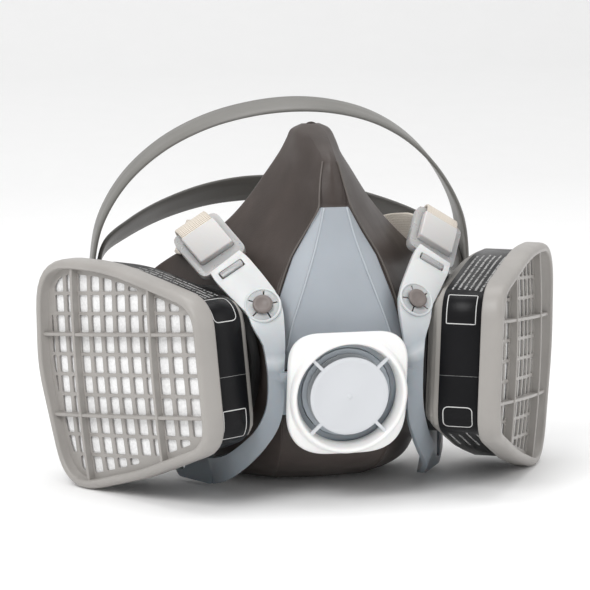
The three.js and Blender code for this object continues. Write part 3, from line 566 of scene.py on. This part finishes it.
# ---- facepiece ----
def facepiece():
    """The soft shell: creased front, recess for the panel, rolled face seal and a hole for the valve."""
    rows = spline(SECTIONS, 5)
    bib = np.array(BIB)
    side_steps = [0, 0.012, 0.05, 0.11, 0.19, 0.28, 0.37, 0.46, 0.55, 0.64, 0.73, 0.82, 0.9, 0.96, 1]
    grid = []
    table = [(row, bib[0, 0] - 4 < row[0] < PANEL_TOP) for row in rows]
    for z, sunk in ((PANEL_TOP, True), (PANEL_LIP, False)):
        near = np.array([np.interp(z, rows[:, 0], rows[:, k]) for k in range(8)])
        table.append((near, sunk))
    table.sort(key=lambda item: item[0][0])
    for (z, ya, bx, by, mx, my, rx, ry), sunk in table:
        ex, ey, cx, cy = (np.interp(z, bib[:, 0], bib[:, k]) for k in (3, 4, 1, 2))
        edge = min(ex / bx, 0.96)
        # The raised edge round the panel fades out up the nose.
        border = BORDER_RAISED * min(max((BORDER_TOP - z) / BORDER_FADE, 0), 1)
        front = [0, 0.3 * edge, 0.6 * edge, 0.85 * edge, 0.97 * edge,
                 edge, edge + 0.012, (1 + edge) / 2, 0.99]
        points = []
        for k, f in enumerate(front):
            x, y = bx * f, ya + (by - ya) * f**1.3
            if sunk and k < 6:
                across = min(max((x - cx) / max(ex - cx, 0.1), 0), 1)
                y = cy + (ey - cy) * across + 1.0
            elif k >= 6:
                y -= border
            points.append((x, y))
        side = spline([(bx, by - 2 / 3 * border), (mx, my), (rx, ry)], 24)
        for t in side_steps:
            k = t * (len(side) - 1)
            a = min(int(k), len(side) - 2)
            points.append(tuple(side[a] + (side[a + 1] - side[a]) * (k - a)))
        half = [Vector((x, y, z)) for x, y in points]
        grid.append([mirrored(p, -1) for p in reversed(half[1:])] + half)

    def closing(row, share):
        rear = row[0].y
        return [Vector((p.x * (1 - 0.04 * share), p.y + (rear - p.y) * share, p.z)) for p in row]

    bottom = [closing(grid[0], s) for s in (1, 0.7, 0.35)]
    top = [closing(grid[-1], s) for s in (0.35, 0.7, 1)]
    grid = bottom + grid + top
    cols = len(grid[0])
    verts = [p for row in grid for p in row]
    faces = []
    for i in range(len(grid) - 1):
        for j in range(cols - 1):
            a = i * cols + j
            faces.append((a, a + 1, a + cols + 1, a + cols))
    loop = list(range(cols))
    loop += [i * cols + cols - 1 for i in range(1, len(grid))]
    loop += [(len(grid) - 1) * cols + j for j in range(cols - 2, -1, -1)]
    loop += [i * cols for i in range(len(grid) - 2, 0, -1)]
    # The face seal rolls round the rear edge and turns inwards.
    at = np.array([verts[i] for i in loop])
    for _ in range(8):
        at = (np.roll(at, 1, axis=0) + at + np.roll(at, -1, axis=0)) / 3
    t = np.roll(at, -2, axis=0) - np.roll(at, 2, axis=0)
    inward = np.stack([-t[:, 2], 0 * t[:, 0], t[:, 0]], axis=1)
    inward /= np.maximum(np.linalg.norm(inward, axis=1), 1e-6)[:, None]
    last = loop
    for into, back in SEAL_ROLL:
        first = len(verts)
        for i, k in enumerate(loop):
            p = verts[k].lerp(Vector(at[i]), min(1.0, 0.3 + into / 3))
            reach = min(1.0, (0.5 * abs(p.x) + max(0, 100 - p.z) * 0.3 + 1.2) / 8.2) if into > 0 else 1.0
            verts.append(p + Vector(inward[i]) * into * reach + Vector((0, back * (0.4 + 0.6 * reach), 0)))
        new = list(range(first, len(verts)))
        for i in range(len(loop)):
            j = (i + 1) % len(loop)
            faces.append((last[i], last[j], new[j], new[i]))
        last = new
    to_valve = VALVE.inverted()

    def in_valve(face):
        p = to_valve @ (sum((verts[i] for i in face), Vector()) / len(face))
        return math.hypot(p.x, p.y) < VALVE_HOLE_R and abs(p.z) < VALVE_HOLE_REACH

    faces = [f for f in faces if not in_valve(f)]
    obj = piece("facepiece_shell", [place(p) for p in verts], faces, ELASTOMER, "mask", ["facepiece"],
                "facepiece_elastomer")
    front = max(obj.data.polygons, key=lambda f: -f.center.y)
    if front.normal.y > 0:
        obj.data.flip_normals()
    modifier(obj, "SOLIDIFY", thickness=WALL * MM, offset=-1)
    modifier(obj, "SUBSURF", levels=1, render_levels=1)
    for name, side in SIDES.items():
        rings = [[(PORT_AT[0] + r * math.cos(a), PORT_AT[1] + r * math.sin(a), w) for r, w in PORT_BOSS]
                 for a in around(64)]
        v, f = rings_mesh([through(CART, ring, side) for ring in rings], closed=True)
        soften(piece("port_boss_" + name, v, f, ELASTOMER, "mask"), 0.3)


# ---- cartridges ----
RIM = resampled(outline(RIM_CORNERS), 168)
OPENING = inset(RIM, 3.6)


def swept(name, line, profile, side, material, body, replaces=(), slot=None):
    """A closed profile of (inset, level) carried round an outline on the cartridge."""
    loops = [inset(line, d) for d, _ in profile]
    rings = [through(CART, [(x[k][0], x[k][1], w) for x, (_, w) in zip(loops, profile)], side)
             for k in range(len(line))]
    v, f = rings_mesh(rings, closed=True)
    return piece(name, v, f, material, body, replaces, slot)


def span_at(line, axis, value):
    """Lowest and highest crossing of an outline by a straight line."""
    hits = []
    for a, b in zip(line, np.roll(line, -1, axis=0)):
        if (a[axis] > value) != (b[axis] > value):
            t = (value - a[axis]) / (b[axis] - a[axis])
            hits.append(a[1 - axis] + t * (b[1 - axis] - a[1 - axis]))
    return min(hits), max(hits)


def block(low_corner, high_corner, matrix, side):
    """A box in a local frame as verts and faces."""
    xs, ys, zs = zip(low_corner, high_corner)
    base = ((xs[0], ys[0]), (xs[1], ys[0]), (xs[1], ys[1]), (xs[0], ys[1]))
    corners = [(x, y, z) for z in zs for x, y in base]
    faces = [(3, 2, 1, 0), (4, 5, 6, 7), (0, 1, 5, 4), (1, 2, 6, 5), (2, 3, 7, 6), (3, 0, 4, 7)]
    return through(matrix, corners, side), faces


def merged(parts):
    verts, faces = [], []
    for v, f in parts:
        faces += [tuple(i + len(verts) for i in face) for face in f]
        verts += v
    return verts, faces


def dome(x, y):
    """How far the grille and what follows it stand forward at a point."""
    return DOME * max(0.0, 1 - (x / DOME_REACH[0]) ** 2) * max(0.0, 1 - (y / DOME_REACH[1]) ** 2)


def clipped(shape, field):
    """A convex shape cut to the inside of a convex outline that runs anticlockwise."""
    points = [np.array(p, float) for p in shape]
    for a, b in zip(field, np.roll(field, -1, axis=0)):
        side = [(b[0] - a[0]) * (p[1] - a[1]) - (b[1] - a[1]) * (p[0] - a[0]) for p in points]
        kept = []
        for i, p in enumerate(points):
            j = (i + 1) % len(points)
            if side[i] >= 0:
                kept.append(p)
            if (side[i] > 0) != (side[j] > 0):
                kept.append(p + (points[j] - p) * (side[i] / (side[i] - side[j])))
        points = kept
        if len(points) < 3:
            return []
    return points


def grille(side):
    """The slotted floor of the cover: a domed sheet, its slots cut short by a margin round the edge."""
    edge = resampled(inset(RIM, 3.0), 96)
    field = resampled(inset(RIM, SLOT_MARGIN), 96)
    if signed_area(field) < 0:
        field = field[::-1]
    loops = [[tuple(p) for p in edge]]
    half = [s / 2 for s in SLOT_SIZE]
    for i in range(-7, 7):
        for j in range(-7, 7):
            x, y = (i + 0.5) * SLOT_PITCH[0], (j + 0.5) * SLOT_PITCH[1]
            cell = clipped([(x - half[0], y - half[1]), (x + half[0], y - half[1]),
                            (x + half[0], y + half[1]), (x - half[0], y + half[1])], field)
            if len(cell) > 2 and abs(signed_area(cell)) > SLOT_LEAST:
                apart = [p for k, p in enumerate(cell) if np.linalg.norm(p - cell[k - 1]) > 0.3]
                loops.append([tuple(p) for p in outline([(*p, 0.8) for p in apart], 2)])
    points, edges = [], []
    for loop in loops:
        first = len(points)
        points += [Vector(p) for p in loop]
        edges += [(first + k, first + (k + 1) % len(loop)) for k in range(len(loop))]
    # The triangulation also fills the slots, so triangles with their middle in one are left out.
    found, _, faces, *_ = delaunay_2d_cdt(points, edges, [], 1, 1e-5)
    holes = [np.array(loop) for loop in loops[1:]]
    kept = []
    for face in faces:
        middle = sum((found[i] for i in face), Vector((0, 0))) / len(face)
        if not any(inside(middle, hole) for hole in holes):
            kept.append(tuple(face))
    verts = [(p.x, p.y, FLOOR_FRONT + dome(p.x, p.y)) for p in found]
    return through(CART, verts, side), kept


def rib(axis, at, first, last, top):
    """One domed bar of the grille, from one side of the opening to the other."""
    rings = []
    for t in np.linspace(first, last, 28):
        rise = dome(t, at) if axis else dome(at, t)
        ring = []
        for across, level in ((-RIB_HALF, FLOOR_FRONT - 0.6), (RIB_HALF, FLOOR_FRONT - 0.6),
                              (RIB_HALF, top - 0.25), (RIB_HALF - 0.25, top), (0.25 - RIB_HALF, top),
                              (-RIB_HALF, top - 0.25)):
            ring.append((t, at + across, level + rise) if axis else (at + across, t, level + rise))
        rings.append(ring)
    return rings


def cover(name, side):
    body = "cartridge_cover_" + name
    swept("cover_rim_" + name, RIM, COVER_RIM, side, CARTRIDGE_GREY, body, [body], "cartridge_plastic")
    v, f = grille(side)
    sheet = piece("cover_grille_" + name, v, f, CARTRIDGE_GREY, body, slot="cartridge_plastic")
    if (sheet.data.polygons[0].normal).dot(mirrored(OUTWARD, side)) < 0:
        sheet.data.flip_normals()
    modifier(sheet, "SOLIDIFY", thickness=(FLOOR_FRONT - FLOOR_BACK) * MM, offset=-1)
    soften(sheet, 0.25, 50)
    bars = []
    for s in (-1, 1):
        for axis in (0, 1):
            at = s * RIB_AT[axis]
            first, last = span_at(OPENING, axis, at)
            bars.append(rib(axis, at, first - 1, last + 1, RIB_TOP[axis]))
    made = [rings_mesh([through(CART, ring, side) for ring in rings]) for rings in bars]
    ribs = piece("cover_ribs_" + name, *merged(made), CARTRIDGE_GREY, body, slot="cartridge_plastic")
    soften(ribs, 0.15, 30)


def filter_pad(name, side):
    """The white pad behind the grille: a crowned cushion of fibre, close behind the bars."""
    edge = inset(RIM, BODY_INSET + 0.5)
    middle = edge.mean(axis=0)
    rings = []
    for share, back, front in PAD_RINGS:
        loop = middle + (edge - middle) * share
        rings.append(through(CART, [(x, y, PAD_BACK + back if back else FLOOR_BACK + front + dome(x, y))
                                    for x, y in loop], side))
    v, f = rings_mesh(rings)
    obj = piece("fibre_pad_" + name, v, f, PAD_WHITE, "mask", ["filter_pad_" + name], "filter_pad_white")


# What is printed on each band: kind, nearest (h, v) on the outline, length, and corner radius or rows
LABEL_PRINT = {
    "right": [("rows", (-18, 37.5), 46, 6), ("frame", (-49.8, 26.5), 11.5, 2.6), ("seam", (-51, -2), 0.07, 0),
              ("frame", (-51.4, -19.5), 11.5, 0.6)],
    "left": [("rows", (-19.5, 37), 48, 6), ("frame", (-50.6, 21.5), 12, 0.6), ("seam", (-51, -6), 0.05, 0),
             ("frame", (-51.3, -23), 8.5, 2.4), ("rows", (-31, -33.5), 26, 4)],
}


def label(name, side):
    """The band round the cartridge, printed with empty frames and rows of meaningless dashes."""
    line = inset(RIM, LABEL_INSET)
    w0, w1 = LABEL_BACK, LABEL_FRONT
    profile = [(0, w0 + 0.15), (0, w1 - 0.15), (0.12, w1), (0.6, w1), (0.6, w0), (0.12, w0)]
    swept("label_wrap_" + name, line, profile, side, LABEL_BLACK, "mask", ["label_band_" + name],
          "label_black")
    loop = np.vstack([line, line[:1]])
    run = np.concatenate([[0], np.cumsum(np.linalg.norm(np.diff(loop, axis=0), axis=1))])
    raised = inset(line, -0.04)
    raised = np.vstack([raised, raised[:1]])

    def on_band(points):
        """Points of (distance round the band, level), on its outside."""
        flat = []
        for s, w in points:
            s %= run[-1]
            flat.append((np.interp(s, run, raised[:, 0]), np.interp(s, run, raised[:, 1]), w))
        return through(CART, flat, side)

    marks = []
    chance = np.random.default_rng(7)
    for kind, near, length, extra in LABEL_PRINT[name]:
        middle = run[np.argmin(np.linalg.norm(line - near, axis=1))]
        s0, s1 = middle - length / 2, middle + length / 2
        if kind == "seam":
            marks.append((on_band([(s0, w0), (s1, w0), (s1, w1), (s0, w1)]), [(0, 1, 2, 3)]))
        elif kind == "frame":
            box = resampled(outline([(s0, w0 + 1.8, extra), (s1, w0 + 1.8, extra), (s1, w1 - 2.2, extra),
                                     (s0, w1 - 2.2, extra)], 6), 72)
            n = len(box)
            marks.append((on_band(np.vstack([box, inset(box, 0.36)])),
                          [(i, (i + 1) % n, n + (i + 1) % n, n + i) for i in range(n)]))
        else:
            for row in range(extra):
                level = w0 + 2.2 + row * (w1 - w0 - 4.6) / (extra - 1)
                s, end = s0 + chance.uniform(0, 2), s1 - chance.uniform(0, 5)
                while s < end:
                    dash, tall = chance.uniform(0.3, 0.8), chance.uniform(0.6, 1.0)
                    corners = [(s, level), (s + dash, level), (s + dash, level + tall), (s, level + tall)]
                    marks.append((on_band(corners), [(0, 1, 2, 3)]))
                    s += dash + (0.5 if chance.uniform() < 0.75 else 1.2)
    v, f = merged(marks)
    obj = piece("label_marks_" + name, v, f, MARK_GREY, "mask", slot="label_black")
    modifier(obj, "SOLIDIFY", thickness=0.03 * MM, offset=0)


def cartridge(name, side):
    cover(name, side)
    filter_pad(name, side)
    label(name, side)
    dressed("cartridge_body_" + name, BODY_GREY, 0.4)
    # The adapter's near-black is partly painted shade behind the cartridge.
    dressed("port_adapter_" + name, GASKET_BLACK_AND_SHADE, 0.3)
    dressed("carbon_bed_" + name, CARBON, 0.3)
    dressed("port_screen_" + name, SCRIM, 0)
    dressed("inhalation_flap_" + name, AMBER, 0.15)


# ---- exhalation valve ----
def turned(profile, matrix, count=72):
    """A profile of (radius, level) turned about a frame's third axis; radius 0 closes the middle."""
    rings = []
    for r, q in profile:
        rings.append(through(matrix, [(max(r, 0.01) * math.cos(a), max(r, 0.01) * math.sin(a), q)
                                      for a in around(count)]))
    return rings


def valve_cover():
    w, h = COVER_SIZE
    low_r, high_r = COVER_ROUND
    square = resampled(outline([(-w / 2, -h / 2, low_r), (w / 2, -h / 2, low_r), (w / 2, h / 2, high_r),
                                (-w / 2, h / 2, high_r)], 12), 144)
    unit = square / np.linalg.norm(square, axis=1)[:, None]
    rings = []
    for share, size, q in COVER_STEPS:
        own = inset(square, size if share == 0 else 1.4)
        points = own * (1 - share) + unit * size * share
        rings.append(through(VALVE, [(x, y, q) for x, y in points]))
    v, f = rings_mesh(rings, closed=True)
    shell = piece("valve_cover_shell", v, f, VALVE_WHITE, "mask", ["valve_cover"], "valve_cover_white")
    modifier(shell, "SUBSURF", levels=1, render_levels=1)
    v, f = rings_mesh(turned(DISC, VALVE))
    parts = [(v, f)]
    for k in range(4):
        turn = VALVE @ Matrix.Rotation(math.pi / 4 + k * math.pi / 2, 4, "Z")
        parts.append(block(SPOKE_LOW, SPOKE_HIGH, turn, 1))
    disc_piece = piece("valve_disc", *merged(parts), DISC_WHITE, "mask", slot="valve_cover_white")
    soften(disc_piece, 0.15, 40)
    dressed("valve_seat", SEAT_BLUE, 0.3)
    dressed("exhalation_flap", FLAP_GREY, 0.15)


# ---- yoke, front panel, buttons ----
def yoke():
    dressed("yoke", YOKE_MILKY, 0.45, 35)
    dressed("front_panel", BIB_GREY, 0.35, 15)
    for name, side in SIDES.items():
        rings = [[(r * math.cos(a), r * math.sin(a), q) for a in around(48)]
                 for r, q in ((max(r, 0.01), q) for r, q in KNOB)]
        v, f = rings_mesh([through(BUTTON, ring, side) for ring in rings])
        piece("button_knob_" + name, v, f, BUTTON_BROWN, "mask", ["snap_button_" + name], "button_brown")
        rings = [[(r * math.cos(a), r * math.sin(a), q) for r, q in LIP] for a in around(64)]
        v, f = rings_mesh([through(BUTTON, ring, side) for ring in rings], closed=True)
        soften(piece("button_lip_" + name, v, f, YOKE_MILKY, "mask", slot="yoke_plastic"), 0.1, 30)
        # The crease and border beads carry lighter colours as painted highlights along the creases and the
        # raised border.
        crease = [(side * x, y - 0.25, z) for z, x, y, *_ in BIB[1:]]
        bead("panel_crease_" + name, crease, 0.45, BIB_CREASE_HIGHLIGHT, "front_panel_grey")
        border = [(side * (x + 1.0), y - 0.55, z) for z, *_, x, y in BIB[1:]]
        border += [(side * x, y, z) for x, y, z in NOSE_EDGE]
        bead("panel_border_" + name, border, 0.4, ELASTOMER_EDGE_HIGHLIGHT, "facepiece_elastomer")


def bead(name, path, half, material, slot):
    """A fine raised line along a path on the front of the mask, coloured lighter as a painted highlight."""
    section = ((-half, 0.3), (-half / 2, -0.05), (half / 2, -0.05), (half, 0.3))
    v, f = rings_mesh([[place(Vector(p) + Vector((dx, dy, 0))) for dx, dy in section]
                       for p in spline(path, 6)])
    piece(name, v, f, material, "mask", slot=slot)


# ---- straps and cradle ----
def strap(name, side):
    def near(along, out):
        return SLOT_AT + buckle_a * along + buckle_c * out

    stations = [(near(15, -6.4), buckle_b), (near(12, -4.6), buckle_b), (near(13, -2.0), buckle_b),
                (near(19, -0.3), buckle_b), (near(27.6, 0.2), buckle_b), (near(31, -2.4), buckle_b),
                (near(30, -6.0), buckle_b), (near(27, -9.6), buckle_b),
                *STRAP_REAR]
    rings, uvs = ribbon([(tuple(c), tuple(w)) for c, w in stations], STRAP_W, STRAP_T, 12)
    v, f = rings_mesh([[place(mirrored(p, side)) for p in ring] for ring in rings])
    obj = piece("elastic_webbing_" + name, v, f, ELASTIC_CREAM, None, ["elastic_strap_" + name],
                "elastic_cream", uvs)
    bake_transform(obj)


def band(name, node, points, tip, crown, material, slot, body):
    half = [(Vector(p), Vector(tip).lerp(Vector(crown), i / (len(points) - 1))) for i, p in enumerate(points)]
    rest = [(mirrored(p, -1), mirrored(w, -1)) for p, w in reversed(half[:-1])]
    rings, _ = ribbon([(tuple(p), tuple(w)) for p, w in half + rest], BAND_W, BAND_T, 12, 0.6)
    v, f = rings_mesh([[place(p) for p in ring] for ring in rings])
    return piece(name, v, f, material, body, [node], slot)


def harness():
    band("upper_band", "cradle_band_upper", UPPER, (-0.14, 0.98, 0.2), (0, 0.92, 0.38), CRADLE_GREY,
         "cradle_grey", "harness")
    # The lower band is painted darker as shade.
    band("lower_band", "cradle_band_lower", LOWER, (0.1, -0.95, 0.3), (0, -0.35, 0.94), CRADLE_SHADED,
         "cradle_dark", "lower_cradle")
    for name, side in SIDES.items():
        strap(name, side)
        dressed("cradle_pin_" + name, PIN_GREY, 0.3)
        dressed("buckle_" + name, BUCKLE_MILKY, 0.7, 40)
        v, f = block(SLEEVE_LOW, SLEEVE_HIGH, BUCKLE, side)
        sleeve = piece("buckle_sleeve_" + name, v, f, SLEEVE_MILKY, "buckle_" + name, slot="buckle_clear")
        soften(sleeve, 0.6, 40, 3)


# ---- camera, light, floor ----
CAMERA_AIM = Vector((1.57, 0, 65.3))  # design frame, mm
CAMERA_TURN, CAMERA_RISE, CAMERA_AWAY = -13.8, 9.0, 1288
CAMERA_LENS = 195.5


def camera():
    turn, rise = math.radians(CAMERA_TURN), math.radians(CAMERA_RISE)
    back = Vector((math.sin(turn) * math.cos(rise), -math.cos(turn) * math.cos(rise), math.sin(rise)))
    data = bpy.data.cameras.new("camera")
    data.lens = CAMERA_LENS
    data.sensor_width = 36
    data.clip_end = 20
    obj = bpy.data.objects.new("camera", data)
    bpy.context.scene.collection.objects.link(obj)
    obj.location = place(CAMERA_AIM + back * CAMERA_AWAY)
    obj.rotation_euler = (-back).to_track_quat("-Z", "Y").to_euler()
    bpy.context.scene.camera = obj


def softbox(name, at, aim, size, power):
    data = bpy.data.lights.new(name, "AREA")
    data.shape = "RECTANGLE"
    data.size, data.size_y = size
    data.energy = power
    obj = bpy.data.objects.new(name, data)
    bpy.context.scene.collection.objects.link(obj)
    obj.location = at
    obj.rotation_euler = (Vector(aim) - Vector(at)).to_track_quat("-Z", "Y").to_euler()


def studio():
    softbox("key_light", (-0.75, -0.8, 1.0), (0, 0, 0.06), (0.6, 0.6), 8.5)
    softbox("fill_light", (0.95, -0.6, 0.5), (0, 0, 0.07), (0.5, 0.8), 1.6)
    softbox("top_light", (0, 0.15, 1.2), (0, 0, 0), (1.0, 0.7), 5)
    world = bpy.data.worlds.new("studio")
    world.use_nodes = True
    world.node_tree.nodes["Background"].inputs["Color"].default_value = (1, 1, 1, 1)
    world.node_tree.nodes["Background"].inputs["Strength"].default_value = 0.7
    bpy.context.scene.world = world
    # Floor that curves up into a backdrop behind the object
    verts, faces = [], []
    profile = [(-3.0, 0.0), (0.9, 0.0), (1.3, 0.04), (1.6, 0.18), (1.8, 0.45), (1.9, 0.9), (1.95, 3.0)]
    for y, z in profile:
        verts += [(-4, y, z), (4, y, z)]
    faces = [(2 * i, 2 * i + 1, 2 * i + 3, 2 * i + 2) for i in range(len(profile) - 1)]
    mesh = bpy.data.meshes.new("floor")
    mesh.from_pydata(verts, [], faces)
    mesh.polygons.foreach_set("use_smooth", [True] * len(faces))
    mesh.materials.append(FLOOR_WHITE)
    floor = bpy.data.objects.new("floor", mesh)
    bpy.context.scene.collection.objects.link(floor)
    bpy.context.scene.view_settings.view_transform = "Standard"


camera()
facepiece()
for side_name, side_sign in SIDES.items():
    cartridge(side_name, side_sign)
valve_cover()
yoke()
harness()
studio()
